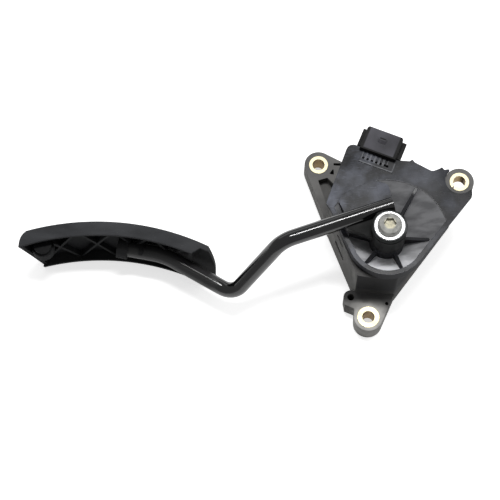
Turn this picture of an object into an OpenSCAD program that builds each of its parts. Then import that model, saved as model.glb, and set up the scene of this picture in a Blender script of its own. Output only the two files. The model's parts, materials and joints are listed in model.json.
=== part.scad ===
// Accelerator pedal with its position sensor: a moulded housing with three mounting ears,
// a bent steel arm on a sprung pivot, and a curved moulded pad.
// Frame: mounting face on Z = 0, pivot axis along +Z through the origin, pad towards -X.

/* [Mounting ears] */
// Bore of each steel sleeve, for an M6 screw
sleeve_bore_d = 7; // [6.4:0.1:8]
// Wall of each steel sleeve
sleeve_wall = 2; // [1.5:0.1:2.4]
// Plastic round each sleeve
ear_wall = 2.7; // [2.2:0.1:3.4]
// Thickness of the two ears on the mounting face
ear_t = 12; // [10:0.5:14]
// Thickness of the ear below the cover
high_ear_t = 8; // [6:0.5:10]

/* [Housing] */
// Height of the cover's top face above the mounting face
housing_h = 45; // [44:0.5:50]
// Wall of the base moulding
wall_t = 2.2; // [1.8:0.1:2.5]
// Floor of the base moulding
floor_t = 2.5; // [2:0.1:3]
// Height of the rim that the base stands on
foot_h = 2; // [1:0.25:2.5]
// Thickness of the cover plate
plate_t = 2.8; // [2.4:0.1:3.2]
// Width of the flat rim round the dish
rim_w = 2.6; // [2:0.1:3]
// Outer radius of the conical dish
dish_r = 34.5; // [32:0.5:36]
// Depth of the dish at the tower
dish_depth = 9; // [8:0.25:9.5]
// Thickness of the dish's floor, measured upright
shell_t = 2.6; // [2.2:0.1:3]
// Thickness of the radial gussets
gusset_t = 1.7; // [1.4:0.1:2.4]
// Height of the raised blister above the plate
blister_h = 2.25; // [2:0.25:3.5]

/* [Pivot] */
// Shaft through the upper bush
shaft_d = 12; // [11:0.5:12.5]
// Shaft journal in the lower bush
journal_d = 9; // [8:0.5:9.5]
// Wall of both bushes
bush_wall = 1.5; // [1.2:0.1:1.7]
// Outer diameter of the tower and the arm's hub
tower_d = 19.5; // [19:0.25:20]
// Height of the arm's hub
hub_h = 14.6; // [13:0.2:16]
// Height of the seal ring at the top of the tower
seal_h = 3; // [2:0.25:4]
// Head diameter of the hub screw
screw_head_d = 13.6; // [12:0.2:14.6]
// Shank diameter of the hub screw
screw_d = 6; // [5:0.5:6]

/* [Rotor and springs] */
// Wire of the outer return spring
outer_wire_d = 2; // [1.6:0.1:2]
// Wire of the inner return spring
inner_wire_d = 1.7; // [1.3:0.1:1.7]
// Turns of the outer return spring
outer_turns = 6; // [4:1:6]
// Turns of the inner return spring
inner_turns = 7; // [5:1:7]
// Wall of the rotor's drum
drum_wall = 1.9; // [1.6:0.1:1.9]
// Thickness of the rotor's flange and sensor arm
flange_t = 3.5; // [3:0.25:4.5]
// Reach of the sensor arm from the pivot
sensor_arm_r = 30; // [29:0.5:31]
// Travel of the pedal, in degrees
pedal_travel = 18; // [12:1:20]

/* [Arm] */
// Diameter of the steel rod
rod_d = 9; // [8:0.25:9.5]
// Distance of the rod's axis from the pivot axis
rod_offset = 13.9; // [13.4:0.1:14.1]
// Direction in which the rod leaves the hub, in degrees
rod_angle = 199.3; // [197:0.1:202]
// Straight length from the hub to the upper bend
upper_run = 57.6; // [52:0.5:60]
// Centreline radius of the bend near the hub
upper_bend_r = 15; // [12:1:20]
// Centreline radius of the bend near the pad
lower_bend_r = 10; // [9:0.5:14]

/* [Pad] */
// Width of the pad, from its lower edge on the mounting plane
pad_w = 38; // [34:1:42]
// Radius of the curved tread
tread_r = 140; // [130:2:160]
// Thickness of the tread
tread_t = 3; // [2.4:0.1:3.4]
// Depth of the side walls from the tread's outer face
pad_depth = 8; // [7.6:0.1:9.4]
// Radius between the tread and its slanted end
end_corner_r = 9; // [6:0.5:10]
// Thickness of the side walls
side_t = 1.8; // [1.4:0.1:2.4]
// Thickness of the crossed ribs
rib_t = 1.4; // [1:0.1:2]

/* [Connector] */
// Spacing of the terminals
pitch = 2.6; // [2.4:0.05:2.6]
// Outer width of the shroud
shroud_w = 21.4; // [20.6:0.2:21.6]
// Length of the shroud
shroud_l = 14.2; // [13:0.2:15]
// Outer height of the shroud
shroud_h = 12.4; // [12.2:0.2:13]
// Wall of the shroud
shroud_wall = 1.6; // [1.2:0.1:1.6]

/* [Hidden] */
TERMINALS = 6;

// Clearances
seat_gap = 0.02;
lap_step = 0.01;
run_gap = 0.05;
part_gap = 0.3;
over = 1;

// Smoothness of round features
fn_round = 64;
fn_small = 32;

// Centres of the three sleeves
sleeve_r = sleeve_bore_d / 2 + sleeve_wall;
ear_r = sleeve_r + ear_wall;
lower_sleeve_r = sleeve_r + 0.8;
left_c = [-36.6, 58];
lower_c = [-9.6, -35.7];
right_c = [41.5, 34.4];

// Heights
wall_top = housing_h - plate_t;
floor_top = foot_h + floor_t;
tower_r = tower_d / 2;
tower_top = housing_h - 1;
dish_root_z = housing_h - dish_depth;
tower_bottom = dish_root_z - shell_t - 2.2;
flange_top = tower_bottom - 0.7;
flange_bottom = flange_top - flange_t;

// Shaft and bushes
shaft_r = shaft_d / 2;
journal_r = journal_d / 2;
upper_bush_r = shaft_r + run_gap + bush_wall;
lower_bush_r = journal_r + run_gap + bush_wall;
boss_r = lower_bush_r + 2;
boss_top = floor_top + 3.7;
journal_end = foot_h + 0.9;
shoulder_z = boss_top + 1;
hub_bottom = tower_top + 0.6;
hub_top = hub_bottom + hub_h;
shaft_top = hub_top - part_gap;
flat_r = shaft_r - 1;
collar_h = 2.8;
collar_top = hub_top + collar_h;
screw_r = screw_d / 2;

// Springs, wound round the drum
drum_r = shaft_r + seat_gap + drum_wall;
inner_coil_r = max(drum_r, boss_r) + 0.35 + inner_wire_d / 2;
outer_coil_r = inner_coil_r + inner_wire_d / 2 + 1.1 + outer_wire_d / 2;
flange_r = outer_coil_r + outer_wire_d / 2 + 1.3;

// Outline of the base moulding, anticlockwise, each corner with its rounding
base_corners = [[-20.8, 55.5, 3.5], [-33, 20.5, 1.5], [-31.2, 17, 2], [-16.9, -20.9, 1.5],
    [-6, -21.9, 3], [5.2, -22.3, 2], [39.5, 24, 2], [34.5, 38.8, 1.5], [26, 38.2, 2],
    [14.7, 44, 2], [6.3, 45, 1.5]];
// Outline of the cover plate, with its two snap teeth on the upper edge
plate_corners = [[-20.5, 57.5, 4], [-33.9, 20.3, 1.2], [-31.8, 17, 1.5], [-20.75, -8.7, 2],
    [0, 0, 0.5], [18, -13.5, 2], [48, 24.6, 1], [48.2, 27.4, 0.8], [41.5, 34.4, 0.5],
    [35.4, 41, 0.6], [33, 40.6, 0.4], [31.8, 42.2, 0.3], [30, 41.2, 0.4], [26.2, 39.7, 3],
    [16.6, 45.2, 0.4], [15.2, 47, 0.3], [13.6, 45.9, 0.4], [6.6, 46.5, 1]];
lower_rim_r = 22.5;
// Recesses in the left wall: place along the wall, height, length and width
wall_recesses = [[15, 31.5, 8, 3], [15.5, 17.5, 12.5, 4.5], [3.5, 22, 6, 4.5]];
recess_depth = 0.7;
// Raised blister over the sensor, anticlockwise
blister_corners = [[-27, 20.5, 1], [-22.5, 10.5, 2], [3.5, 19.5, 2], [0.9, 31, 3.5],
    [-8.3, 33.6, 1.5], [-25.5, 24.6, 1]];
// Radial gussets of the dish: direction and reach
gussets = [[0, 23.5], [60, 34], [115, 33], [172, 21.6], [228, 19.6], [295, 19.6]];
// Pockets in the web of the left ear
ear_pockets = [[[-27.9, 59.1, 0.4], [-27.8, 57.7, 0.4], [-23.6, 57.5, 0.4], [-23.5, 59, 0.4]],
    [[-30.4, 52.4, 0.4], [-27.7, 51.8, 0.4], [-27.9, 56, 0.4]],
    [[-37, 48.2, 0.5], [-31, 29.5, 0.5], [-26.2, 44, 0.5], [-31.6, 49.9, 0.5]]];
pocket_depth = 6;

// Connector frame: row direction, mouth direction and the middle of its closed end
row_angle = -22;
row_dir = [cos(row_angle), sin(row_angle)];
mouth_dir = [-sin(row_angle), cos(row_angle)];
root_c = [-4.8, 49];
terminal_z = housing_h - 2.1;
terminal_w = 0.8;
terminal_t = 0.64;
terminal_tip = shroud_l - 3.4;
terminal_bend = -3.9;
first_terminal = -6.8;
comb_u = [-8.6, 11.6];
comb_l = 6.8;
shroud_top = housing_h + 4;
shroud_floor = 3.2;
neck_half = shroud_w / 2 - 1.2;
neck_l = 3;
rail_w = 2.3;
rail_h = 2.4;
rail_start = 2.8;
board_z = flange_top + 1.3;
board_t = 1.6;
board_posts = [[-9, -8], [6, -8.5], [-9, -24]];
board_u = [-11, 8];
board_w = [-27, -3];

// Sensor arm of the rotor and its stops
arm_a = 120;
sensor_arm_w = 6.6;
magnet_size = [2.2, 5.2, 2];
magnet_rings = [sensor_arm_r - 6.4, sensor_arm_r - 2.6];
buffer_t = 1.4;
stop_in = 17.5;
stop_out = 24.5;
stop_t = 2.4;

// Rod: corner points of its path, from the hub to its end in the pad
rod_r = rod_d / 2;
rod_z = hub_bottom + hub_h * 0.64;
rod_dir = [cos(rod_angle), sin(rod_angle)];
rod_foot = rod_offset * [sin(rod_angle) * -1, cos(rod_angle)] * -1;
rod_tail = 7.6;
rod_start = [for (p = rod_foot - rod_tail * rod_dir) p];
rod_bend_1 = rod_foot + upper_run * rod_dir;
pad_mid = pad_w / 2;

// Pad: curve centre, ends, and how the rod lies in it
tread_top = 12.1;
tread_c = [-162.5, tread_top - tread_r];
pad_left = -205.1;
pad_slant = 11.1;
pad_right = -96;
side_end = pad_right - 13;
side_slope = 32;
lip_h = 1.2;
end_round_r = 106;
end_round_z = 10;
pad_reach = 130;
end_lift = 0.4;
cross_step = 21;
cross_first = -184.5;
crosses = 4;
rod_depth = tread_t + rod_r + 0.3;
cup_wall = 1.6;
cup_l = 6;
jaw_l = 2.5;
jaw_gap = 6.5;
notch_r = 10.5;
rib_gap = 1;
stub_c = [-193.4, 0.6];
stub_r = 5;
stub_collar_r = 6.2;
stub_top = pad_w - 6.5;
stub_l = 9;

rod_path = [[rod_start[0], rod_start[1], rod_z], [rod_bend_1[0], rod_bend_1[1], rod_z],
    [-86, -24.3, pad_mid], on_tread(-124.8, rod_depth, pad_mid), on_tread(-150, rod_depth, pad_mid)];
rod_bends = [upper_bend_r, lower_bend_r, 40];

// A place at a depth below the tread's outer face
function on_tread(x, depth, z) =
    [x, tread_c[1] + sqrt(pow(tread_r - depth, 2) - pow(x - tread_c[0], 2)), z];
function unit(v) = v / norm(v);
function xy(p) = [p[0], p[1]];
function left_of(v) = [-v[1], v[0]];
// Height of the dish's floor at a distance from the pivot
function dish_z(r) = dish_root_z + dish_depth * (r - tower_r) / (dish_r - tower_r);
// Difference of two directions, between -180 and 180 degrees
function turn(a, b) = b - a > 180 ? b - a - 360 : (b - a < -180 ? b - a + 360 : b - a);
// One corner of an anticlockwise outline moved inwards by t
function inset_corner(a, b, c, t) =
    let (p = left_of(unit(b - a)), q = left_of(unit(c - b)))
    b + (p + q) * t / (1 + p * q);
// An anticlockwise outline of corners moved inwards by t
function inset(pts, t) = let (n = len(pts)) [for (i = [0:n - 1])
    let (p = inset_corner(xy(pts[(i + n - 1) % n]), xy(pts[i]), xy(pts[(i + 1) % n]), t))
    [p[0], p[1], max(pts[i][2] - t, 0.3)]];
// The arc that rounds corner b
function corner_arc(a, b, c, r, n) =
    let (u = unit(a - b), v = unit(c - b), half = acos(u * v) / 2,
        m = b + unit(u + v) * r / sin(half), p = b + u * r / tan(half) - m,
        q = b + v * r / tan(half) - m, a0 = atan2(p[1], p[0]),
        sweep = turn(a0, atan2(q[1], q[0])))
    [for (k = [0:n]) m + r * [cos(a0 + sweep * k / n), sin(a0 + sweep * k / n)]];
// Outline points with every corner rounded
function rounded(pts, n = 5) = let (m = len(pts)) [for (i = [0:m - 1])
    each corner_arc(xy(pts[(i + m - 1) % m]), xy(pts[i]), xy(pts[(i + 1) % m]), pts[i][2], n)];
// Point where the tangent from p touches the circle at c, on the side given by 1 or -1
function tangent_point(p, c, r, side) =
    let (d = p - c, a = atan2(d[1], d[0]) + side * acos(r / norm(d)))
    c + r * [cos(a), sin(a)];
// A place given along the connector's row and towards its mouth
function at_connector(u, w) = root_c + u * row_dir + w * mouth_dir;

module prism(pts, z0, z1) {
    translate([0, 0, z0]) linear_extrude(z1 - z0) polygon(pts);
}

module ring(r_out, r_in, z0, z1) {
    translate([0, 0, z0]) difference() {
        cylinder(h = z1 - z0, r = r_out, $fn = fn_round);
        translate([0, 0, -over]) cylinder(h = z1 - z0 + 2 * over, r = r_in, $fn = fn_round);
    }
}

module post(c, r, z0, z1) {
    translate([c[0], c[1], z0]) cylinder(h = z1 - z0, r = r, $fn = fn_small);
}

// Box in the connector's own directions
module connector_box(u0, u1, w0, w1, z0, z1) {
    translate([root_c[0], root_c[1], z0]) rotate([0, 0, row_angle])
        translate([u0, w0, 0]) cube([u1 - u0, w1 - w0, z1 - z0]);
}

// Solid of the base's outer form
module base_block(z0, z1, t = 0) {
    prism(rounded(t == 0 ? base_corners : inset(base_corners, t)), z0, z1);
}

// Web from two corners of the base to an ear
module ear_web(a, b, inner, c, z1) {
    prism([a, inner, b, tangent_point(b, c, ear_r, 1), c, tangent_point(a, c, ear_r, -1)], 0, z1);
}

// Everything above the dish's lower face, for trimming the base's walls
module above_dish(gap) {
    rotate_extrude($fn = fn_round) polygon([[0, dish_root_z - shell_t - gap],
        [tower_r, dish_root_z - shell_t - gap], [dish_r, dish_z(dish_r) - shell_t - gap],
        [dish_r, housing_h], [0, housing_h]]);
}

module sleeve_hole(c, z0, z1, r = sleeve_r) {
    post(c, r + seat_gap, z0 - over, z1 + over);
}

module spring_leg_hole(r, angle, wire_r, z0, z1) {
    post(r * [cos(angle), sin(angle)], wire_r + 0.25, z0, z1);
}

// Radial plate that stops the sensor arm
module stop_plate(angle, side) {
    rotate([0, 0, angle]) translate([stop_in, side > 0 ? 0 : -stop_t, foot_h])
        cube([stop_out - stop_in, stop_t, flange_top - foot_h]);
}

// Direction of each stop face, past the arm's side and its buffer
function stop_angle(side) = arm_a + (side > 0 ? pedal_travel : 0)
    + side * asin((sensor_arm_w / 2 + part_gap + buffer_t) / stop_in);

// Hollow ribs on the mounting side of the base
module foot_ribs() {
    for (a = [25, 70, 115, 160, 270, 320])
        rotate([0, 0, a]) translate([boss_r - 0.5, -0.9, 0]) cube([60, 1.8, foot_h + 0.5]);
}

// Shallow round-ended recess in the long left wall
module wall_recess(along, z, length, height) {
    a = xy(base_corners[2]);
    d = unit(xy(base_corners[3]) - a);
    translate([a[0] + along * d[0], a[1] + along * d[1], z])
        rotate([0, 0, atan2(d[1], d[0])]) rotate([90, 0, 0]) translate([0, 0, -recess_depth])
            linear_extrude(recess_depth + over) union() {
                for (side = [-1, 1]) translate([side * (length - height) / 2, 0])
                    circle(r = height / 2, $fn = fn_small);
                square([length - height, height], center = true);
            }
}

module base_housing() color([0.13, 0.13, 0.14]) {
    low_left = xy(base_corners[2]);
    low_a = xy(base_corners[3]);
    low_b = xy(base_corners[5]);
    top_a = xy(base_corners[0]);
    lug_c = [-19.3, -23.8];
    difference() {
        union() {
            difference() {
                base_block(0, wall_top);
                base_block(floor_top, wall_top + over, wall_t);
                base_block(-over, foot_h, wall_t);
            }
            intersection() {
                base_block(0, foot_h + 0.5, wall_t / 2);
                foot_ribs();
            }
            post([0, 0], boss_r, 0, boss_top);
            // Corner post that closes the wall against the round rim of the cover
            post(inset_corner(low_left, low_a, xy(base_corners[4]), 3.6), 2.6, 0, wall_top);
            difference() {
                union() {
                    post(left_c, ear_r, 0, ear_t);
                    ear_web(low_left, top_a + [1.6, 2.4], [-24, 40], left_c, ear_t);
                }
                base_block(-over, ear_t + over, wall_t / 2);
                for (p = ear_pockets) prism(rounded(p, 3), ear_t - pocket_depth, ear_t + over);
            }
            difference() {
                union() {
                    post(lower_c, ear_r, 0, ear_t);
                    ear_web(low_b, low_a, [-6, -18], lower_c, ear_t);
                    post(lug_c, 4.2, 0, ear_t);
                    prism([lug_c + [-4.1, 0], lug_c + [-3.5, -4.5], lug_c + [1, -6.5], lower_c, low_a], 0, ear_t);
                }
                base_block(-over, ear_t + over, wall_t / 2);
                post(lug_c, 2, foot_h, ear_t + over);
                post([1, -27.6], 1, ear_t - 4, ear_t + over);
            }
            post(right_c, ear_r, wall_top - high_ear_t, wall_top);
            prism([xy(base_corners[6]), right_c + [ear_r, 0], right_c + [0, ear_r],
                xy(base_corners[7]), [33, 30]], wall_top - high_ear_t, wall_top);
            difference() {
                for (side = [-1, 1]) stop_plate(stop_angle(side), side);
                base_block(0, foot_h + 0.01);
            }
        }
        above_dish(run_gap);
        for (w = wall_recesses) wall_recess(w[0], w[1], w[2], w[3]);
        sleeve_hole(left_c, 0, ear_t);
        sleeve_hole(lower_c, 0, ear_t, lower_sleeve_r);
        sleeve_hole(right_c, wall_top - high_ear_t, wall_top);
        post([0, 0], lower_bush_r + seat_gap, foot_h + 0.5, boss_top + over);
        connector_box(-shroud_w / 2 - run_gap, shroud_w / 2 + run_gap, -run_gap, 20,
            shroud_top - shroud_h - run_gap, housing_h);
        connector_box(-neck_half - run_gap, neck_half + run_gap, -6, 1,
            wall_top - 2 - run_gap, housing_h);
        spring_leg_hole(outer_coil_r, outer_leg_a, outer_wire_d / 2, foot_h + 0.6, floor_top + over);
        spring_leg_hole(inner_coil_r, inner_leg_a, inner_wire_d / 2, foot_h + 0.6, floor_top + over);
    }
}

// Cover plate's outline: the straight sides run into a round end below the dish
module plate_form(z0, z1, t = 0) {
    prism(rounded(t == 0 ? plate_corners : inset(plate_corners, t), 4), z0, z1);
    translate([0, 0, z0]) cylinder(h = z1 - z0, r = lower_rim_r - t, $fn = 96);
}

module gusset(angle, reach) {
    rotate([90, 0, angle]) translate([0, 0, -gusset_t / 2]) linear_extrude(gusset_t)
        polygon([[tower_r - 1, dish_root_z - 1], [tower_r - 1, tower_top - 0.8],
            [reach, dish_z(reach) + 0.25], [reach, dish_z(reach) - 1]]);
}

module cover() color([0.09, 0.09, 0.1]) {
    blister_top = housing_h + blister_h;
    difference() {
        union() {
            difference() {
                union() {
                    plate_form(wall_top, housing_h);
                    intersection() {
                        plate_form(dish_root_z - shell_t, housing_h);
                        above_dish(0);
                    }
                }
                intersection() {
                    plate_form(0, housing_h + over, rim_w);
                    rotate_extrude($fn = 96) polygon([[0, dish_root_z], [tower_r, dish_root_z],
                        [dish_r, housing_h], [dish_r, housing_h + over], [0, housing_h + over]]);
                }
            }
            prism(rounded(blister_corners), dish_root_z - 1, blister_top);
            for (g = gussets) gusset(g[0], g[1]);
            post([0, 0], tower_r, tower_bottom, tower_top);
            connector_box(comb_u[0], comb_u[1], -comb_l, 0, housing_h - 0.5, housing_h + 0.5);
            for (p = board_posts) {
                post(at_connector(p[0], p[1]), 2, board_z + board_t, wall_top + 0.5);
                post(at_connector(p[0], p[1]), 0.9, board_z - 0.4, board_z + board_t + 0.5);
            }
        }
        // Hollow below the blister, open to the sensor
        prism(rounded(inset(blister_corners, 2)), 0, blister_top - 1.6);
        post([0, 0], upper_bush_r + seat_gap, 0, housing_h + over);
        post(right_c, ear_r + run_gap, 0, housing_h + over);
        // Seat of the connector, and the comb over its terminals
        connector_box(-shroud_w / 2 - run_gap, shroud_w / 2 + run_gap, -run_gap, 20, 0, 60);
        for (i = [0:TERMINALS - 1]) {
            u = first_terminal + i * pitch;
            connector_box(u - 0.65, u + 0.65, terminal_bend - 0.6, over, 0, terminal_z + 0.6);
            connector_box(u - 0.65, u + 0.65, -3, over, housing_h, housing_h + over);
            connector_box(u - 0.65, u + (i == TERMINALS - 1 ? 2 : 0.65), terminal_bend - 0.6,
                terminal_bend + 0.6, 0, housing_h + over);
        }
    }
}

module connector_housing() color([0.1, 0.1, 0.11]) {
    half = shroud_w / 2;
    bottom = shroud_top - shroud_h;
    difference() {
        union() {
            translate([root_c[0], root_c[1], bottom]) rotate([0, 0, row_angle])
                linear_extrude(shroud_h) polygon(rounded([[-half, 0, 0.4], [half, 0, 0.4],
                    [half, shroud_l, 1.4], [-half, shroud_l, 1.4]]));
            for (side = [-1, 1])
                connector_box(side > 0 ? half - 1 : -half - rail_w, side > 0 ? half + rail_w : 1 - half,
                    rail_start, shroud_l - 0.6, shroud_top - 4.6 - rail_h, shroud_top - 4.6);
            connector_box(-neck_half, neck_half, -neck_l, over, wall_top - 2, wall_top - run_gap);
            // Locking ramp for the plug's latch
            translate([root_c[0], root_c[1], shroud_top]) rotate([90, 0, row_angle + 90])
                translate([0, 0, -2.2]) linear_extrude(4.4)
                    polygon([[5, -0.5], [9.5, -0.5], [9.5, 0.9], [8.3, 0.9]]);
        }
        connector_box(-half + shroud_wall, half - shroud_wall, shroud_floor, shroud_l + over,
            bottom + shroud_wall, shroud_top - shroud_wall);
        // Keyways inside the shroud's top wall
        for (u = [-6, 4.6])
            connector_box(u, u + 1.4, shroud_floor, shroud_l + over,
                shroud_top - shroud_wall - 0.5, shroud_top - shroud_wall + 0.7);
        for (i = [0:TERMINALS - 1]) {
            u = first_terminal + i * pitch;
            connector_box(u - terminal_w / 2 - seat_gap, u + terminal_w / 2 + seat_gap, -over,
                shroud_floor + over, terminal_z - terminal_t / 2 - seat_gap,
                terminal_z + terminal_t / 2 + seat_gap);
        }
    }
}

module terminal(i) color([0.8, 0.7, 0.45]) {
    u = first_terminal + (i - 1) * pitch;
    connector_box(u - terminal_w / 2, u + terminal_w / 2, terminal_bend - terminal_t / 2,
        terminal_tip, terminal_z - terminal_t / 2, terminal_z + terminal_t / 2);
    connector_box(u - terminal_w / 2, u + terminal_w / 2, terminal_bend - terminal_t / 2,
        terminal_bend + terminal_t / 2, board_z - 0.9, terminal_z);
}

module sleeve(c, z0, z1, r = sleeve_r, slit = false) color([0.82, 0.68, 0.3]) {
    difference() {
        translate([c[0], c[1], 0]) ring(r, sleeve_bore_d / 2, z0, z1);
        if (slit)
            translate([c[0], c[1], z0 - over]) rotate([0, 0, 225]) translate([0, -0.5, 0])
                cube([r + over, 1, z1 - z0 + 2 * over]);
    }
}

module sleeve_left() sleeve(left_c, 0, ear_t + 0.2);
module sleeve_lower() sleeve(lower_c, 0, ear_t + 0.2, lower_sleeve_r);
module sleeve_right() sleeve(right_c, wall_top - high_ear_t, wall_top + 0.2, slit = true);

module circuit_board() color([0.1, 0.35, 0.2]) {
    difference() {
        connector_box(board_u[0], board_u[1], board_w[0], board_w[1], board_z, board_z + board_t);
        for (p = board_posts) post(at_connector(p[0], p[1]), 0.9 + run_gap, board_z - over, wall_top);
        for (i = [0:TERMINALS - 1]) {
            u = first_terminal + i * pitch;
            connector_box(u - terminal_w / 2 - run_gap, u + terminal_w / 2 + run_gap,
                terminal_bend - terminal_t / 2 - run_gap, terminal_bend + terminal_t / 2 + run_gap,
                board_z - over, board_z + board_t + over);
        }
    }
}

// Two sensor chips below the board, over the middle of the magnets' travel
module sensor_chips() color([0.08, 0.08, 0.08]) {
    for (r = magnet_rings)
        rotate([0, 0, arm_a + pedal_travel / 2]) translate([r - 1.5, -2.5, board_z - 0.95])
            cube([3, 5, 0.95]);
}

module upper_bush() color([0.75, 0.6, 0.35])
    ring(upper_bush_r, shaft_r + run_gap, tower_bottom + 0.2, tower_top - seal_h);

module shaft_seal() color([0.07, 0.07, 0.07]) difference() {
    ring(upper_bush_r, shaft_r + run_gap, tower_top - seal_h, tower_top);
    // Groove behind the lip
    ring(upper_bush_r - 0.5, shaft_r + 0.5, tower_top - 1, tower_top + over);
}

module lower_bush() color([0.75, 0.6, 0.35])
    ring(lower_bush_r, journal_r + run_gap, foot_h + 0.5, boss_top);

module thrust_washer() color([0.7, 0.7, 0.72])
    ring(lower_bush_r, journal_r + run_gap, boss_top + 0.05, shoulder_z - 0.1);

// Friction ring that damps the arm, pressed against the rotor's flange
module friction_ring() color([0.55, 0.45, 0.3]) {
    difference() {
        ring(flange_r - 0.6, tower_r + 0.2, flange_top + 0.1, dish_root_z - shell_t - 0.1);
        for (a = [0:60:300]) rotate([0, 0, a]) translate([tower_r, -0.6, flange_top])
            cube([flange_r - tower_r, 1.2, 1]);
    }
}

// Cross-section of a wire at p, across the direction d, its first point facing away from Z
function wire_ring(p, d, r, sides) =
    let (f = unit(d), t = unit(cross(f, [p[0], p[1], 0])), s = cross(t, f))
    [for (k = [0:sides - 1]) p + r * (cos(k * 360 / sides) * s + sin(k * 360 / sides) * t)];

// A round wire swept along points
module wire(pts, r, sides) {
    n = len(pts);
    rings = [for (i = [0:n - 1])
        wire_ring(pts[i], pts[min(i + 1, n - 1)] - pts[max(i - 1, 0)], r, sides)];
    polyhedron(points = [for (g = rings) each g], faces = concat(
        [[for (k = [0:sides - 1]) k]],
        [for (i = [0:n - 2], k = [0:sides - 1]) [i * sides + k, (i + 1) * sides + k,
            (i + 1) * sides + (k + 1) % sides, i * sides + (k + 1) % sides]],
        [[for (k = [sides - 1:-1:0]) (n - 1) * sides + k]]));
}

outer_leg_a = 200;
inner_leg_a = 20;
steps_per_turn = 18;

// Torsion spring: a helix whose ends turn off as short hooks into the base and the flange
module torsion_spring(coil_r, wire_r, turns, start_a) {
    z0 = floor_top + wire_r + 0.3;
    z1 = flange_bottom - wire_r - 0.3;
    n = turns * steps_per_turn;
    helix = [for (k = [0:n]) let (a = start_a + 360 * turns * k / n)
        [coil_r * cos(a), coil_r * sin(a), z0 + (z1 - z0) * k / n]];
    wire(concat([helix[0] - [0, 0, wire_r + 1.6]], helix, [helix[n] + [0, 0, wire_r + 1.6]]), wire_r, 8);
}

module outer_return_spring() color([0.45, 0.46, 0.48])
    torsion_spring(outer_coil_r, outer_wire_d / 2, outer_turns, outer_leg_a);
module inner_return_spring() color([0.45, 0.46, 0.48])
    torsion_spring(inner_coil_r, inner_wire_d / 2, inner_turns, inner_leg_a);

// Rubber buffer on the face of a stop
module stop_buffer(side) {
    rotate([0, 0, stop_angle(side)])
        translate([stop_in + 0.5, side > 0 ? -buffer_t : 0, flange_bottom - 1])
            cube([stop_out - stop_in - 1, buffer_t, flange_t + 1]);
}

module idle_stop_buffer() color([0.06, 0.06, 0.06]) stop_buffer(-1);
module full_stop_buffer() color([0.06, 0.06, 0.06]) stop_buffer(1);

module rotor_drum() color([0.85, 0.85, 0.8]) {
    difference() {
        union() {
            post([0, 0], drum_r, shoulder_z, flange_bottom + 1);
            post([0, 0], flange_r, flange_bottom, flange_top);
            rotate([0, 0, arm_a]) translate([flange_r - 2, -sensor_arm_w / 2, flange_bottom])
                cube([sensor_arm_r - flange_r + 2, sensor_arm_w, flange_t]);
        }
        post([0, 0], shaft_r + seat_gap, 0, housing_h);
        spring_leg_hole(outer_coil_r, outer_leg_a + 360 * outer_turns, outer_wire_d / 2,
            flange_bottom - over, flange_bottom + 2.4);
        spring_leg_hole(inner_coil_r, inner_leg_a + 360 * inner_turns, inner_wire_d / 2,
            flange_bottom - over, flange_bottom + 2.4);
        magnets(seat_gap);
    }
}

module magnets(gap) {
    for (r = magnet_rings)
        rotate([0, 0, arm_a])
            translate([r - magnet_size[0] / 2 - gap, -magnet_size[1] / 2 - gap,
                flange_top - magnet_size[2] - gap])
                cube([magnet_size[0] + 2 * gap, magnet_size[1] + 2 * gap, magnet_size[2] + 2 * gap]);
}

module sensor_magnets() color([0.5, 0.5, 0.52]) magnets(0);

// Shaft section with two flats
module flatted(r, half_flat, z0, z1) {
    intersection() {
        post([0, 0], r, z0, z1);
        translate([-r, -half_flat, z0]) cube([2 * r, 2 * half_flat, z1 - z0]);
    }
}

module pivot_shaft() color([0.6, 0.6, 0.62]) {
    difference() {
        union() {
            post([0, 0], journal_r, journal_end, shoulder_z);
            post([0, 0], shaft_r, shoulder_z, hub_bottom);
            flatted(shaft_r, flat_r, hub_bottom, shaft_top);
        }
        post([0, 0], screw_r + seat_gap, hub_bottom + 1, shaft_top + over);
    }
}

module lever_hub() color([0.05, 0.05, 0.05]) {
    difference() {
        post([0, 0], tower_r, hub_bottom, hub_top);
        flatted(shaft_r + seat_gap, flat_r + seat_gap, hub_bottom - over, hub_top + over);
        rod_straight(rod_path[0] - 20 * concat(rod_dir, 0), rod_path[1], rod_r + seat_gap);
    }
}

// Stamped plate that ties the rod to the hub
module lever_bracket() color([0.06, 0.06, 0.06]) {
    far = rod_foot + 21 * rod_dir;
    difference() {
        prism([rod_foot + 5 * rod_dir, far - 1 * unit(rod_foot), far - 5.2 * unit(rod_foot),
            7.5 * [cos(rod_angle + 38), sin(rod_angle + 38)]], rod_z - 3.4, rod_z + 0.6);
        post([0, 0], tower_r + seat_gap, 0, hub_top + over);
        rod_straight(rod_path[0], rod_path[1], rod_r + seat_gap);
    }
}

// Round bar between two points
module rod_straight(a, b, r) {
    d = b - a;
    translate(a) rotate([0, acos(d[2] / norm(d)), atan2(d[1], d[0])])
        cylinder(h = norm(d), r = r, $fn = fn_round);
}

// Round bar bent at corner b with centreline radius bend, its ends lapped into the straights
module rod_bend(a, b, c, bend, r) {
    u = unit(a - b);
    v = unit(c - b);
    half = acos(u * v) / 2;
    lap_a = 0.3 * 180 / (PI * bend);
    m = b + unit(u + v) * bend / sin(half);
    p = b + u * bend / tan(half);
    e1 = unit(p - m);
    e2 = -u;
    e3 = cross(e1, e2);
    multmatrix([[e1[0], e2[0], e3[0], m[0]], [e1[1], e2[1], e3[1], m[1]],
        [e1[2], e2[2], e3[2], m[2]], [0, 0, 0, 1]])
        rotate([0, 0, -lap_a]) rotate_extrude(angle = 180 - 2 * half + 2 * lap_a, $fn = fn_round)
            translate([bend, 0]) circle(r = r - lap_step, $fn = fn_small);
}

// Length that a bend takes from each of its straights
function bend_reach(a, b, c, bend) = bend / tan(acos(unit(a - b) * unit(c - b)) / 2);

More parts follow.
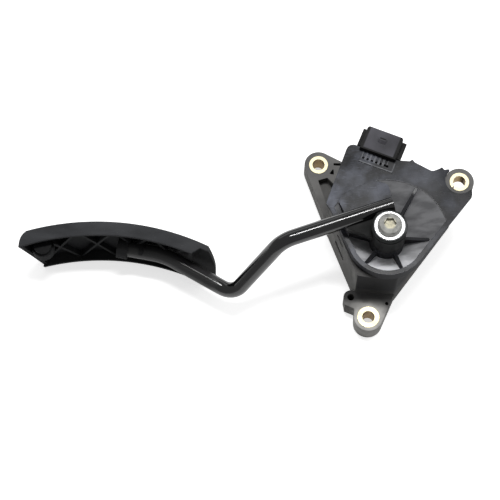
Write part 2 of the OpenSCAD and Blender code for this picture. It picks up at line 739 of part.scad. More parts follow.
module lever_rod() color([0.04, 0.04, 0.045]) {
    n = len(rod_path);
    for (i = [0:n - 2]) {
        a = rod_path[i];
        b = rod_path[i + 1];
        lead = i == 0 ? 0 : bend_reach(rod_path[i - 1], a, b, rod_bends[i - 1]);
        tail = i == n - 2 ? 0 : bend_reach(a, b, rod_path[i + 2], rod_bends[i]);
        rod_straight(a + lead * unit(b - a), b - tail * unit(b - a), rod_r);
    }
    for (i = [1:n - 2])
        rod_bend(rod_path[i - 1], rod_path[i], rod_path[i + 1], rod_bends[i - 1], rod_r);
}

module hub_collar() color([0.85, 0.86, 0.88]) {
    translate([0, 0, hub_top]) rotate_extrude($fn = fn_round) polygon([[screw_r + 0.15, 0],
        [tower_r + 0.3, 0], [tower_r + 0.3, 1.1], [tower_r - 0.9, 1.5],
        [tower_r - 0.9, collar_h - 0.5], [tower_r - 1.4, collar_h], [screw_r + 0.15, collar_h]]);
}

module hub_screw() color([0.62, 0.62, 0.6]) {
    head_r = screw_head_d / 2;
    head_h = 3.6;
    difference() {
        union() {
            post([0, 0], screw_r, hub_bottom + 3, collar_top + 0.5);
            translate([0, 0, collar_top]) rotate_extrude($fn = fn_round) polygon(concat(
                [[0, 0], [head_r, 0], [head_r, 0.8]],
                [for (a = [10:10:60]) [head_r - 1.9 + 1.9 * cos(a) * 1.0, 0.8 + (head_h - 0.8) * sin(a)]],
                [[head_r - 3, head_h], [0, head_h]]));
        }
        // Six-lobed drive recess
        for (a = [0:60:300]) rotate([0, 0, a]) translate([2.5, 0, collar_top + 1.2])
            cylinder(h = head_h, r = 0.9, $fn = fn_small);
        translate([0, 0, collar_top + 1.2]) cylinder(h = head_h, r = 2.9, $fn = fn_small);
    }
}

// Pad profile: a band between two arcs about the tread's centre
module pad_band(depth_0, depth_1, z0, z1) {
    translate([tread_c[0], tread_c[1], z0]) difference() {
        cylinder(h = z1 - z0, r = tread_r - depth_0, $fn = 360);
        translate([0, 0, -over]) cylinder(h = z1 - z0 + 2 * over, r = tread_r - depth_1, $fn = 360);
    }
}

// Slanted end of the pad, its corner with the tread rounded, moved inwards by t
module pad_end(t = 0) {
    top = on_tread(pad_left, -end_lift, pad_w);
    low = on_tread(pad_left + pad_slant, -end_lift, 0);
    d = top - low;
    corners = [[-pad_reach, -pad_reach * tan(3), 0.5], [0, 0, end_corner_r],
        [60 * tan(21), 60, 0.5], [-pad_reach, 60, 0.5]];
    // It starts one width below the pad, so that its slanted foot clears the far corner
    translate(low - d) rotate([0, acos(d[2] / norm(d)), atan2(d[1], d[0])])
        linear_extrude(3 * norm(d)) polygon(rounded(t == 0 ? corners : inset(corners, t), 8));
}

// Pad between a depth below the tread and the edge of its walls, from z0 to z1
module pad_form(depth_0, depth_1, t, z0, z1) {
    intersection() {
        pad_band(depth_0, depth_1, z0, z1);
        pad_end(t);
        translate([pad_right - end_round_r, 40, end_round_z]) rotate([90, 0, 0])
            cylinder(h = 100, r = end_round_r, $fn = 240);
    }
}

// Space under the tread up to the end of the side walls
module pad_tray(depth, x0, x1) {
    intersection() {
        pad_band(tread_t / 2, depth, side_t / 2, pad_w - side_t / 2);
        pad_end(side_t / 2);
        translate([x0, -60, 0]) cube([x1 - x0, 90, pad_w]);
    }
}

module pedal_pad() color([0.08, 0.08, 0.085]) {
    rod_end = rod_path[4];
    rod_in = rod_path[3];
    along = unit(rod_end - rod_in);
    cup_start = rod_end - (cup_l - cup_wall) * along;
    jaw_start = cup_start - (jaw_gap + jaw_l) * along;
    wall_end = on_tread(side_end, pad_depth - 0.5, 0);
    difference() {
        union() {
            difference() {
                pad_form(0, pad_depth + lip_h, 0, 0, pad_w);
                // Only the wall on the mounting side keeps the lip
                pad_band(pad_depth, pad_depth + 20, side_t, pad_w + over);
                pad_form(tread_t, pad_depth + 10, side_t, side_t, pad_w - side_t);
                // The side walls end at a slant below the tread
                intersection() {
                    pad_band(tread_t, pad_depth + 20, -over, pad_w + over);
                    prism([[side_end, -60], [-60, -60],
                        [-60, wall_end[1] + (-60 - side_end) * tan(side_slope)],
                        [side_end, wall_end[1]]], -over, pad_w + over);
                }
            }
            // Crossed ribs, cleared round the rod
            difference() {
                intersection() {
                    pad_tray(pad_depth - 1.6, -pad_reach * 2, side_end - side_t / 2);
                    for (i = [0:crosses - 1], side = [-1, 1])
                        translate([cross_first + i * cross_step, 0, pad_mid])
                            rotate([0, side * atan2(cross_step, pad_w), 0])
                                cube([rib_t, 120, 2 * pad_w], center = true);
                }
                rod_straight(rod_in - 20 * along, rod_end, rod_r + rib_gap);
                rod_straight(rod_path[2], rod_in, rod_r + rib_gap);
            }
            // Notched web that closes the tray
            difference() {
                pad_tray(pad_depth, side_end - side_t, side_end);
                rod_straight(rod_path[2], rod_in, notch_r);
            }
            // Cup and open jaw that hold the end of the rod against the tread
            intersection() {
                union() {
                    rod_straight(cup_start, rod_end + cup_wall * along, rod_r + cup_wall);
                    difference() {
                        rod_straight(jaw_start, jaw_start + jaw_l * along, rod_r + cup_wall);
                        translate(jaw_start - along) rotate([0, 0, atan2(along[1], along[0])])
                            translate([0, rod_r / 2, -rod_r]) cube([jaw_l + 2, 20, 2 * rod_r]);
                    }
                }
                pad_band(tread_t / 2, pad_depth + 20, 0, pad_w);
            }
            // Stub with a collar near the lower end
            intersection() {
                union() {
                    post(stub_c, stub_collar_r, stub_top - stub_l, stub_top - 3);
                    post(stub_c, stub_r, stub_top - stub_l, stub_top);
                }
                pad_band(tread_t / 2, pad_depth + 20, 0, pad_w);
            }
        }
        rod_straight(rod_end - (cup_l + jaw_gap + jaw_l + 2) * along, rod_end + seat_gap * along,
            rod_r + seat_gap);
    }
}

base_housing();
cover();
connector_housing();
terminal(1);  // terminal_1
terminal(2);  // terminal_2
terminal(3);  // terminal_3
terminal(4);  // terminal_4
terminal(5);  // terminal_5
terminal(6);  // terminal_6
sleeve_left();
sleeve_lower();
sleeve_right();
circuit_board();
sensor_chips();
upper_bush();
lower_bush();
shaft_seal();
friction_ring();
thrust_washer();
outer_return_spring();
inner_return_spring();
idle_stop_buffer();
full_stop_buffer();
rotor_drum();
sensor_magnets();
pivot_shaft();
lever_hub();
lever_bracket();
lever_rod();
hub_collar();
hub_screw();
pedal_pad();
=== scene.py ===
"""Looks for the accelerator pedal: materials, small surface details, floor, lights and camera."""

import json
import math

import bmesh
import bpy
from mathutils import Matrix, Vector


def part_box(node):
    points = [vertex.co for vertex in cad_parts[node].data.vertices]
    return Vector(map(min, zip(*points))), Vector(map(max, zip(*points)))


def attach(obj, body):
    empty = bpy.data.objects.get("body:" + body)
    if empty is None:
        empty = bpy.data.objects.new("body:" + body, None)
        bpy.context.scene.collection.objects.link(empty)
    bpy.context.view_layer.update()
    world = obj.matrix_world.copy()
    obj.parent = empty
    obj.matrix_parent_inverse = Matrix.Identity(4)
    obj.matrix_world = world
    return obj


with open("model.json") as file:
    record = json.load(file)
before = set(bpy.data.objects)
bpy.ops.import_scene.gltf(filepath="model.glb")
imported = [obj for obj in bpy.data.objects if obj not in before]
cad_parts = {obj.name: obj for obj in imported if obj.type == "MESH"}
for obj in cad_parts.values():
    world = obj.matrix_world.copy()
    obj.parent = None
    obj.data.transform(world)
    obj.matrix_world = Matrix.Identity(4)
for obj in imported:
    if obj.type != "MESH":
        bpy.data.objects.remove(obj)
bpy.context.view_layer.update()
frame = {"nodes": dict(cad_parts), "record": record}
NODES = frame["nodes"]
MM = 0.001

# Sizes of the solids
DISH_R = 34.5 * MM
PLATE_TOP = 45 * MM
EAR_TOP = 12 * MM
COLLAR_FOOT = 61.2 * MM
PAD_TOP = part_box("pedal_pad")[1][2]
SLEEVE_X, SLEEVE_Y = [0.5 * (a + b) for a, b in zip(*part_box("sleeve_lower"))][:2]
PITCH = 2.6 * MM
FIRST_SLOT = -6.8 * MM
SOCKET = next(m for m in frame["record"]["mounts"] if m["name"] == "connector_socket")

# The rod's place beside the hub, and its directions
HUB_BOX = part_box("lever_hub")
HUB_R = 0.5 * (HUB_BOX[1][0] - HUB_BOX[0][0])
ROD_R = 4.5 * MM
ROD_OFFSET = 13.9 * MM
ROD_ANGLE = math.radians(199.3)
ROD_Z = 53.94 * MM
ALONG = Vector((math.cos(ROD_ANGLE), math.sin(ROD_ANGLE), 0))
ACROSS = Vector((math.sin(ROD_ANGLE), -math.cos(ROD_ANGLE), 0))
UP = Vector((0, 0, 1))

DUST = (0.42, 0.41, 0.39)


# Node helpers

def link(tree, a, b):
    tree.links.new(a, b)


def math_node(tree, operation, a, b=None):
    n = tree.nodes.new("ShaderNodeMath")
    n.operation = operation
    for i, value in enumerate((a, b)):
        if value is None:
            continue
        if isinstance(value, (int, float)):
            n.inputs[i].default_value = value
        else:
            link(tree, value, n.inputs[i])
    return n.outputs[0]


def noise(tree, scale, detail=3.0, stretch=(1, 1, 1), turn=0.0):
    coords = tree.nodes.new("ShaderNodeTexCoord")
    mapping = tree.nodes.new("ShaderNodeMapping")
    mapping.inputs["Scale"].default_value = stretch
    mapping.inputs["Rotation"].default_value = (0, 0, turn)
    link(tree, coords.outputs["Object"], mapping.inputs["Vector"])
    n = tree.nodes.new("ShaderNodeTexNoise")
    n.inputs["Scale"].default_value = scale
    n.inputs["Detail"].default_value = detail
    link(tree, mapping.outputs["Vector"], n.inputs["Vector"])
    return n.outputs["Fac"]


def map_range(tree, value, low, high, to_low, to_high):
    n = tree.nodes.new("ShaderNodeMapRange")
    link(tree, value, n.inputs["Value"])
    n.inputs["From Min"].default_value = low
    n.inputs["From Max"].default_value = high
    n.inputs["To Min"].default_value = to_low
    n.inputs["To Max"].default_value = to_high
    return n.outputs["Result"]


def mix_colour(tree, factor, a, b):
    n = tree.nodes.new("ShaderNodeMix")
    n.data_type = "RGBA"
    link(tree, factor, n.inputs["Factor"])
    for socket, value in ((n.inputs["A"], a), (n.inputs["B"], b)):
        if isinstance(value, tuple):
            socket.default_value = (*value, 1.0)
        else:
            link(tree, value, socket)
    return n.outputs["Result"]


def scaled(colour, k):
    return tuple(min(c * k, 1.0) for c in colour)


def times(tree, *factors):
    """Product of sockets and numbers."""
    product = factors[0]
    for factor in factors[1:]:
        product = math_node(tree, "MULTIPLY", product, factor)
    return product


def xyz(tree, vector):
    n = tree.nodes.new("ShaderNodeSeparateXYZ")
    link(tree, vector, n.inputs[0])
    return n.outputs


def object_place(tree):
    return xyz(tree, tree.nodes.new("ShaderNodeTexCoord").outputs["Object"])


def make_material(name, colour, rough, metal=0.0, coat=0.0, specular=0.5, grain=900.0,
                  grain_depth=0.02, mottle=60.0, spread=0.25, edge=0.35 * MM, edge_tone=1.6,
                  dust=0.0, upright=None, rim=1.0, patches=(), dull=None):
    """Mottled colour, uneven roughness, a fine grain, softened edges with a little wear, and dust.

    upright is the colour painted, as shade, on faces that stand upright, such as a sleeve's bore, and
    rim how much of its shine a metal keeps at a flat angle. patches are pairs of a mask, a function of
    the node tree and the normal's outputs, and the colour there. dull is the mask of what has no gloss.
    """
    m = bpy.data.materials.new(name)
    m.use_nodes = True
    tree = m.node_tree
    shader = tree.nodes["Principled BSDF"]
    cloud = noise(tree, mottle, 4.0)
    fine = noise(tree, grain, 2.0)
    bevel = tree.nodes.new("ShaderNodeBevel")
    bevel.samples = 6
    bevel.inputs["Radius"].default_value = edge
    geometry = tree.nodes.new("ShaderNodeNewGeometry")
    dot = tree.nodes.new("ShaderNodeVectorMath")
    dot.operation = "DOT_PRODUCT"
    link(tree, bevel.outputs["Normal"], dot.inputs[0])
    link(tree, geometry.outputs["Normal"], dot.inputs[1])
    wear = math_node(tree, "MULTIPLY", map_range(tree, dot.outputs["Value"], 0.985, 0.86, 0.0, 1.0),
                     map_range(tree, cloud, 0.35, 0.65, 0.3, 1.0))
    base = mix_colour(tree, map_range(tree, cloud, 0.3, 0.7, 0.0, 1.0),
                      scaled(colour, 1 - spread), scaled(colour, 1 + spread))
    base = mix_colour(tree, wear, base, scaled(colour, edge_tone))
    normal = xyz(tree, geometry.outputs["Normal"])
    # Painted shade on faces that stand upright
    if upright:
        standing = map_range(tree, math_node(tree, "ABSOLUTE", normal["Z"]), 0.6, 0.97, 1.0, 0.0)
        base = mix_colour(tree, standing, base, upright)
    for mask, patch in patches:
        base = mix_colour(tree, mask(tree, normal), base, patch)
    if dust:
        specks = map_range(tree, noise(tree, 1400.0, 5.0), 0.62, 0.74, 0.0, dust)
        film = map_range(tree, noise(tree, 25.0, 3.0), 0.4, 0.8, 0.0, dust * 0.5)
        lying = times(tree, math_node(tree, "ADD", specks, film),
                      map_range(tree, normal["Z"], 0.2, 1.0, 0.15, 1.0))
        base = mix_colour(tree, lying, base, DUST)
    link(tree, base, shader.inputs["Base Color"])
    roughness = map_range(tree, cloud, 0.3, 0.7, max(rough - 0.08, 0.05), min(rough + 0.1, 1.0))
    if dull:
        roughness = math_node(tree, "MAXIMUM", roughness, times(tree, dull(tree, normal), 0.8))
    link(tree, roughness, shader.inputs["Roughness"])
    bump = tree.nodes.new("ShaderNodeBump")
    bump.inputs["Strength"].default_value = 0.6
    bump.inputs["Distance"].default_value = grain_depth * MM
    link(tree, fine, bump.inputs["Height"])
    link(tree, bevel.outputs["Normal"], bump.inputs["Normal"])
    link(tree, bump.outputs["Normal"], shader.inputs["Normal"])
    shader.inputs["Metallic"].default_value = metal
    shader.inputs["Coat Weight"].default_value = coat
    shader.inputs["Coat Roughness"].default_value = 0.12
    shader.inputs["Specular IOR Level"].default_value = specular
    shader.inputs["Specular Tint"].default_value = (rim, rim, rim, 1.0)
    return m


def standing_faces(tree, normal):
    """The textured sides of a moulding."""
    return map_range(tree, math_node(tree, "ABSOLUTE", normal["Z"]), 0.2, 0.6, 1.0, 0.0)


def rod_in_pad(tree, normal):
    """The grimy end of the rod inside the pad."""
    return map_range(tree, object_place(tree)["X"], -92 * MM, -100 * MM, 0.0, 1.0)


def plain_cover_faces(tree, normal):
    """The sides of the cover and all that lies in the dish."""
    low = map_range(tree, object_place(tree)["Z"], PLATE_TOP - 0.1 * MM, PLATE_TOP - 0.3 * MM, 0.0, 1.0)
    return math_node(tree, "MAXIMUM", standing_faces(tree, normal), low)


def reach_from(tree, x=0.0, y=0.0):
    """Distance from an upright axis."""
    place = object_place(tree)
    squares = [math_node(tree, "POWER", math_node(tree, "SUBTRACT", place[axis], centre), 2.0)
               for axis, centre in (("X", x), ("Y", y))]
    return math_node(tree, "SQRT", math_node(tree, "ADD", *squares))


def dish_dust_and_painted_sheen(tree, normal):
    """Pale streaks on the dish's floor, whose faces lean towards the pivot: partly dust, partly a
    painted reflection, and more of it in front.
    """
    place = object_place(tree)
    reach = reach_from(tree)
    lean = math_node(tree, "ADD", times(tree, normal["X"], place["X"]),
                     times(tree, normal["Y"], place["Y"]))
    lean = math_node(tree, "DIVIDE", lean, reach)
    return times(tree, map_range(tree, lean, -0.15, -0.3, 0.0, 1.0),
                 map_range(tree, reach, DISH_R, DISH_R - 0.6 * MM, 0.0, 1.0),
                 # Painted reflection: paler towards the front
                 map_range(tree, place["Y"], 0.0, -16 * MM, 0.21, 1.15),
                 map_range(tree, noise(tree, 75.0, 7.0, (1, 3.0, 1), -0.8), 0.38, 0.58, 0.6, 1.1))


def plate_scuffs_and_painted_sheen(tree, normal):
    """Pale bluish scuffs and fine scratches on the plate and the blister, partly wear and partly a
    painted sheen, thicker to the left.
    """
    place = object_place(tree)
    clouds = map_range(tree, noise(tree, 60.0, 8.0), 0.47, 0.66, 0.0, 0.75)
    scratches = map_range(tree, noise(tree, 260.0, 5.0, (1, 9, 1), -0.9), 0.6, 0.72, 0.0, 0.5)
    return times(tree, map_range(tree, normal["Z"], 0.97, 0.995, 0.0, 1.0),
                 map_range(tree, place["Z"], PLATE_TOP - 0.3 * MM, PLATE_TOP - 0.1 * MM, 0.0, 1.0),
                 map_range(tree, place["X"], 30 * MM, -28 * MM, 0.35, 1.0),
                 math_node(tree, "ADD", clouds, scratches))


def socket_glint(tree, normal):
    """Bare, yellowish steel in and round the screw's socket."""
    return times(tree, map_range(tree, reach_from(tree), 3.6 * MM, 2.8 * MM, 0.0, 1.0),
                 map_range(tree, normal["Z"], 0.3, 0.8, 0.2, 1.0),
                 map_range(tree, noise(tree, 900.0, 3.0), 0.35, 0.6, 0.5, 1.0))


def socket_place(tree):
    """Place across the connector, and ahead of its mouth."""
    place = object_place(tree)
    x = math_node(tree, "SUBTRACT", place["X"], SOCKET["pos_m"][0])
    y = math_node(tree, "SUBTRACT", place["Y"], SOCKET["pos_m"][1])
    cos_a, sin_a = SOCKET["axis"][1], SOCKET["axis"][0]
    across = math_node(tree, "SUBTRACT", times(tree, x, cos_a), times(tree, y, sin_a))
    ahead = math_node(tree, "ADD", times(tree, x, sin_a), times(tree, y, cos_a))
    return across, ahead


def between(tree, value, low, high, soft=0.2 * MM):
    """1 between two bounds, with soft borders."""
    return times(tree, map_range(tree, value, low - soft, low + soft, 0.0, 1.0),
                 map_range(tree, value, high + soft, high - soft, 0.0, 1.0))


def comb_painted_highlights(tree, normal):
    """Painted highlights: pale lines beside the slots over the terminals and along the comb's frame."""
    across, ahead = socket_place(tree)
    row = math_node(tree, "SUBTRACT", across, FIRST_SLOT - 0.5 * PITCH)
    row = math_node(tree, "FRACT", math_node(tree, "DIVIDE", row, PITCH))
    from_slot = times(tree, math_node(tree, "ABSOLUTE", math_node(tree, "SUBTRACT", row, 0.5)), PITCH)
    teeth = times(tree, between(tree, from_slot, 0.75 * MM, 1.15 * MM),
                  between(tree, across, -8.2 * MM, 7.3 * MM), between(tree, ahead, -19 * MM, -15 * MM))
    front = times(tree, between(tree, across, -8.2 * MM, 11.2 * MM),
                  between(tree, ahead, -20.8 * MM, -20.3 * MM))
    side = times(tree, between(tree, across, 10.9 * MM, 11.4 * MM),
                 between(tree, ahead, -20.5 * MM, -15 * MM))
    lines = math_node(tree, "ADD", math_node(tree, "ADD", teeth, front), times(tree, side, 0.6))
    top = map_range(tree, object_place(tree)["Z"], PLATE_TOP, PLATE_TOP + 0.3 * MM, 0.0, 1.0)
    return times(tree, lines, top, map_range(tree, noise(tree, 500.0, 3.0), 0.35, 0.6, 0.4, 1.0))


def shroud_painted_shade(tree, normal):
    """Painted shade on the rounded rim of the shroud's back, and a painted shadow at the end of its
    latch ramp.
    """
    across, ahead = socket_place(tree)
    away = math_node(tree, "ABSOLUTE", across)
    flank = map_range(tree, away, 8.6 * MM, 9.2 * MM, 0.0, 1.0)
    root = map_range(tree, ahead, -13.0 * MM, -13.5 * MM, 0.0, 1.0)
    latch = times(tree, map_range(tree, away, 2.0 * MM, 1.6 * MM, 0.0, 1.0),
                  between(tree, ahead, -5.5 * MM, -4.3 * MM))
    return math_node(tree, "MAXIMUM", math_node(tree, "MAXIMUM", flank, root), latch)


def pad_painted_sheen(tree, normal):
    """Painted sheen on the pad's upper side wall, in streaks along it."""
    place = object_place(tree)
    return times(tree, map_range(tree, place["Z"], PAD_TOP - 1.5 * MM, PAD_TOP - 0.5 * MM, 0.0, 1.0),
                 map_range(tree, noise(tree, 90.0, 6.0, (0.35, 1, 1)), 0.35, 0.68, 0.3, 1.0))


def collar_foot(tree, normal):
    """Painted shade on the collar's lower flange."""
    return map_range(tree, object_place(tree)["Z"], COLLAR_FOOT, COLLAR_FOOT - 0.3 * MM, 0.0, 1.0)


def ear_wear(tree, normal):
    """Pale wear on the sides of the ears and of the foot."""
    return times(tree, standing_faces(tree, normal),
                 map_range(tree, object_place(tree)["Z"], EAR_TOP + 8 * MM, EAR_TOP - 8 * MM, 0.0, 1.0),
                 map_range(tree, noise(tree, 110.0, 5.0), 0.35, 0.65, 0.5, 1.0))


def ear_bleach(tree, normal):
    """Pale plastic round the lower sleeve, on the top and on the sides of its ear."""
    return times(tree, map_range(tree, reach_from(tree, SLEEVE_X, SLEEVE_Y), 13 * MM, 7 * MM, 0.0, 1.0),
                 map_range(tree, object_place(tree)["Z"], EAR_TOP + 1 * MM, EAR_TOP, 0.0, 1.0),
                 map_range(tree, normal["Z"], 0.3, 0.8, 0.5, 1.0),
                 map_range(tree, noise(tree, 130.0, 5.0), 0.3, 0.6, 0.55, 1.0))


def foot_shade(tree, normal):
    """Painted shadow of the housing in the corner between the lower ear and the wall above it."""
    place = object_place(tree)
    return times(tree, map_range(tree, normal["Z"], 0.75, 0.98, 0.0, 0.8),
                 map_range(tree, place["Z"], EAR_TOP + 1 * MM, EAR_TOP, 0.0, 1.0),
                 between(tree, place["Y"], -26 * MM, 20 * MM, 1.5 * MM))


def left_film_and_painted_light(tree, normal):
    """Pale, uneven film on the left wall, partly a real film and partly painted light on the faces
    turned to the left.
    """
    return times(tree, map_range(tree, normal["X"], -0.6, -0.85, 0.0, 1.0),
                 map_range(tree, noise(tree, 120.0, 5.0, (1, 1, 0.4)), 0.3, 0.65, 0.45, 1.0))


def lying_haze(tree, normal):
    """Worn, dusty film on the faces that lie flat."""
    return times(tree, map_range(tree, normal["Z"], 0.75, 0.98, 0.0, 1.0),
                 map_range(tree, noise(tree, 60.0, 5.0), 0.3, 0.7, 0.5, 1.0))


MATERIALS = {
    "base_plastic": make_material("base_plastic", (0.016, 0.016, 0.017), 0.6, specular=0.15, grain=1500,
                                  grain_depth=0.03, mottle=45, spread=0.4, dust=0.12,
                                  edge_tone=5.0,
                                  patches=[(ear_wear, (0.11, 0.107, 0.102)),
                                           # Film on the left wall, partly painted light
                                           (left_film_and_painted_light, (0.19, 0.188, 0.18)),
                                           (lying_haze, (0.19, 0.187, 0.182)),
                                           (ear_bleach, (0.6, 0.59, 0.565)),
                                           # Painted shadow of the housing on the lower ear
                                           (foot_shade, (0.02, 0.02, 0.021))],
                                  dull=standing_faces),
    "cover_plastic": make_material("cover_plastic", (0.008, 0.0085, 0.011), 0.26, specular=0.35,
                                   grain=1800, grain_depth=0.015, mottle=40, dust=0.1,
                                   edge_tone=9.0,
                                   # The dish's pale floor is partly dust, partly a painted reflection
                                   patches=[(dish_dust_and_painted_sheen, (0.78, 0.785, 0.81)),
                                            # Scuffs on the plate, partly wear and partly a painted
                                            # sheen
                                            (plate_scuffs_and_painted_sheen, (0.14, 0.152, 0.192)),
                                            # Painted highlights on the comb's ribs and frame
                                            (comb_painted_highlights, (0.2, 0.205, 0.22))],
                                   dull=plain_cover_faces),
    "connector_plastic": make_material("connector_plastic", (0.068, 0.067, 0.078), 0.45, specular=0.15,
                                       grain=1800, grain_depth=0.015, mottle=70, spread=0.4,
                                       edge_tone=1.6, dust=0.05,
                                       # The connector's top is painted paler than its sides, as light
                                       # and shade
                                       patches=[(standing_faces, (0.008, 0.008, 0.009)),
                                                # Painted shade on the shroud's rim and a painted shadow
                                                # at its latch
                                                (shroud_painted_shade, (0.003, 0.003, 0.0033))],
                                       dull=standing_faces),
    "pad_plastic": make_material("pad_plastic", (0.005, 0.0053, 0.006), 0.6, specular=0.15,
                                 grain=1300, grain_depth=0.05, mottle=50, spread=0.4,
                                 edge_tone=4.0, dust=0.06,
                                 # Painted sheen along the pad's upper side wall
                                 patches=[(pad_painted_sheen, (0.05, 0.052, 0.057))],
                                 dull=standing_faces),
    "black_coat": make_material("black_coat", (0.003, 0.003, 0.0035), 0.15, coat=0.3, specular=0.6,
                                grain=260, grain_depth=0.015, mottle=90, edge_tone=3.0, dust=0.02,
                                dull=rod_in_pad),
    "hub_coat": make_material("hub_coat", (0.004, 0.0042, 0.0042), 0.6, specular=0.2, grain=260,
                              grain_depth=0.04, mottle=90, edge_tone=3.0, dust=0.03),
    # The sleeve's bore is painted darker, as shade
    "sleeve_zinc": make_material("sleeve_zinc", (0.78, 0.71, 0.47), 0.42, metal=0.8, grain=900,
                                 grain_depth=0.03, mottle=220, spread=0.12, edge=0.25 * MM,
                                 edge_tone=1.15, upright=(0.32, 0.215, 0.08)),
    # The collar's upright sides and lower flange are painted dark, as shade
    "bright_zinc": make_material("bright_zinc", (0.78, 0.79, 0.8), 0.3, metal=1.0, grain=700,
                                 grain_depth=0.02, mottle=200, spread=0.15, edge_tone=1.2,
                                 upright=(0.03, 0.032, 0.033), rim=0.2,
                                 patches=[(collar_foot, (0.035, 0.037, 0.037))]),
    "plain_steel": make_material("plain_steel", (0.3, 0.3, 0.285), 0.6, metal=0.7, grain=700,
                                 grain_depth=0.12, mottle=420, spread=0.45, edge_tone=2.2,
                                 patches=[(socket_glint, (0.7, 0.66, 0.5))]),
    "spring_steel": make_material("spring_steel", (0.34, 0.34, 0.36), 0.35, metal=1.0, grain=1200,
                                  grain_depth=0.02, mottle=150, spread=0.2),
    "bearing_bronze": make_material("bearing_bronze", (0.5, 0.34, 0.16), 0.4, metal=1.0,
                                    grain=900, mottle=180, spread=0.2),
    "terminal_tin": make_material("terminal_tin", (0.78, 0.72, 0.55), 0.28, metal=1.0,
                                  grain=1400, grain_depth=0.01, mottle=300, spread=0.12),
    "magnet_grey": make_material("magnet_grey", (0.3, 0.3, 0.31), 0.4, metal=1.0, grain=1000,
                                 mottle=300, spread=0.2),
    "black_rubber": make_material("black_rubber", (0.022, 0.022, 0.022), 0.7, specular=0.3,
                                  grain=2200, grain_depth=0.04, mottle=120),
    "friction_lining": make_material("friction_lining", (0.25, 0.18, 0.11), 0.8, specular=0.3,
                                     grain=1100, grain_depth=0.08, mottle=400, spread=0.4),
    "rotor_plastic": make_material("rotor_plastic", (0.62, 0.6, 0.55), 0.45, grain=1600,
                                   grain_depth=0.02, mottle=60, spread=0.08, edge_tone=1.1),
    "board_laminate": make_material("board_laminate", (0.02, 0.16, 0.07), 0.3, coat=0.3,
                                    grain=1200, grain_depth=0.01, mottle=90, spread=0.2),
    "chip_resin": make_material("chip_resin", (0.02, 0.02, 0.021), 0.55, grain=2500,
                                grain_depth=0.03, mottle=200),
}

LOOKS = {s["node"]: s["material_slot"] for s in frame["record"]["subparts"]}
LOOKS["lever_hub"] = "hub_coat"
LOOKS["lever_bracket"] = "hub_coat"
for name, obj in NODES.items():
    obj.data.materials.clear()
    obj.data.materials.append(MATERIALS[LOOKS[name]])


# Weld beads between the arm's steel pieces

def bead(name, path, radius, ripple=1.1 * MM):
    """A lumpy weld bead along a path, thinner at its ends, its ripples leaning along the run."""
    steps = 14
    sides = 12
    pts = []
    for a, b in zip(path, path[1:]):
        pts += [a.lerp(b, k / steps) for k in range(steps)]
    pts.append(path[-1])
    length = sum((b - a).length for a, b in zip(pts, pts[1:]))
    bm = bmesh.new()
    rings = []
    run = 0.0
    for i, p in enumerate(pts):
        run += (p - pts[i - 1]).length if i else 0.0
        ahead = (pts[min(i + 1, len(pts) - 1)] - pts[max(i - 1, 0)]).normalized()
        side = ahead.orthogonal().normalized()
        other = ahead.cross(side)
        taper = min(1.0, 0.25 + 4.0 * min(run, length - run) / length)
        ring = []
        for k in range(sides):
            a = 2 * math.pi * k / sides
            lump = 1 + 0.1 * math.cos(2 * math.pi * run / ripple + 0.8 * math.cos(a))
            out = math.cos(a) * side + math.sin(a) * other
            ring.append(bm.verts.new(p + radius * taper * lump * out))
        rings.append(ring)
    for r0, r1 in zip(rings, rings[1:]):
        for k in range(sides):
            bm.faces.new((r0[k], r0[(k + 1) % sides], r1[(k + 1) % sides], r1[k]))
    bm.faces.new(rings[0][::-1])
    bm.faces.new(rings[-1])
    bmesh.ops.recalc_face_normals(bm, faces=bm.faces)
    mesh = bpy.data.meshes.new(name)
    bm.to_mesh(mesh)
    bm.free()
    mesh.shade_smooth()
    obj = bpy.data.objects.new(name, mesh)
    bpy.context.scene.collection.objects.link(obj)
    mesh.materials.append(MATERIALS["black_coat"])
    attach(obj, "arm")


def seam(height, reach):
    """Points in the groove between the hub and the rod, at a height from the rod's axis."""
    rod_side = ROD_OFFSET - math.sqrt(ROD_R ** 2 - height ** 2)
    pts = []
    for k in range(-4, 5):
        s = reach * k / 4
        hub_side = math.sqrt(HUB_R ** 2 - s ** 2)
        pts.append(ACROSS * (hub_side + rod_side) / 2 + ALONG * s + UP * (ROD_Z + height))
    return pts


bead("weld_bead_upper", seam(3.1 * MM, 4.4 * MM), 1.15 * MM)
bead("weld_bead_lower", seam(-3.1 * MM, 4.4 * MM), 1.15 * MM)


# Floor

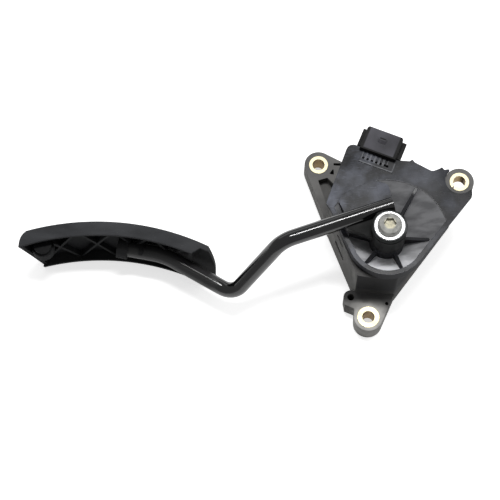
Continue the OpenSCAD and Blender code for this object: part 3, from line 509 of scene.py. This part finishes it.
def stage_material(name, lift):
    """White for the camera and for reflections, where the light reaches it, with soft shadows."""
    m = bpy.data.materials.new(name)
    m.use_nodes = True
    tree = m.node_tree
    tree.nodes.clear()
    out = tree.nodes.new("ShaderNodeOutputMaterial")
    add = tree.nodes.new("ShaderNodeAddShader")
    diffuse = tree.nodes.new("ShaderNodeBsdfDiffuse")
    glow = tree.nodes.new("ShaderNodeEmission")
    path = tree.nodes.new("ShaderNodeLightPath")
    cloud = map_range(tree, noise(tree, 9.0, 2.0), 0.3, 0.7, 0.0, 1.0)
    link(tree, mix_colour(tree, cloud, (0.88, 0.88, 0.88), (0.91, 0.91, 0.91)), diffuse.inputs["Color"])
    seen = math_node(tree, "ADD", path.outputs["Is Camera Ray"], path.outputs["Is Glossy Ray"])
    seen = math_node(tree, "ADD", seen, path.outputs["Is Transmission Ray"])
    link(tree, math_node(tree, "MULTIPLY", seen, lift), glow.inputs["Strength"])
    link(tree, diffuse.outputs[0], add.inputs[0])
    link(tree, glow.outputs[0], add.inputs[1])
    link(tree, add.outputs[0], out.inputs["Surface"])
    return m


bpy.ops.mesh.primitive_plane_add(size=8.0, location=(0, 0, 0))
floor = bpy.context.object
floor.name = "floor"
floor.data.materials.append(stage_material("floor_white", 0.6))


# Lights

def area(name, location, width, height, power):
    """A lamp that faces the pivot."""
    lamp = bpy.data.lights.new(name, "AREA")
    lamp.shape = "RECTANGLE"
    lamp.size = width
    lamp.size_y = height
    lamp.energy = power
    obj = bpy.data.objects.new(name, lamp)
    obj.location = location
    obj.rotation_euler = (-obj.location).to_track_quat("-Z", "Y").to_euler()
    bpy.context.scene.collection.objects.link(obj)


area("window_light", (-0.25, 1.4, 0.85), 2.8, 0.6, 4)
area("side_light", (1.0, 0.5, 0.95), 0.9, 0.7, 5)
area("strip_light", (0.0, 0.3, 1.5), 0.6, 0.12, 10)

# White world behind the floor, dimmer as a light
world = bpy.data.worlds.new("studio")
bpy.context.scene.world = world
world.use_nodes = True
world_tree = world.node_tree
sky = world_tree.nodes["Background"]
sky.inputs["Color"].default_value = (1, 1, 1, 1)
ray = world_tree.nodes.new("ShaderNodeLightPath")
level = map_range(world_tree, ray.outputs["Is Camera Ray"], 0.0, 1.0, 0.36, 1.0)
link(world_tree, level, sky.inputs["Strength"])


# Camera at the photograph's angle

TILT = math.radians(21.0)
cam = bpy.data.cameras.new("camera")
cam.sensor_width = 36.0
cam.lens = 136.8
cam.clip_end = 20.0
camera = bpy.data.objects.new("camera", cam)
camera.location = (-0.07656, -0.38536, 1.0286)
camera.rotation_euler = (TILT, 0, 0)
bpy.context.scene.collection.objects.link(camera)
bpy.context.scene.camera = camera
bpy.context.scene.view_settings.view_transform = "Standard"
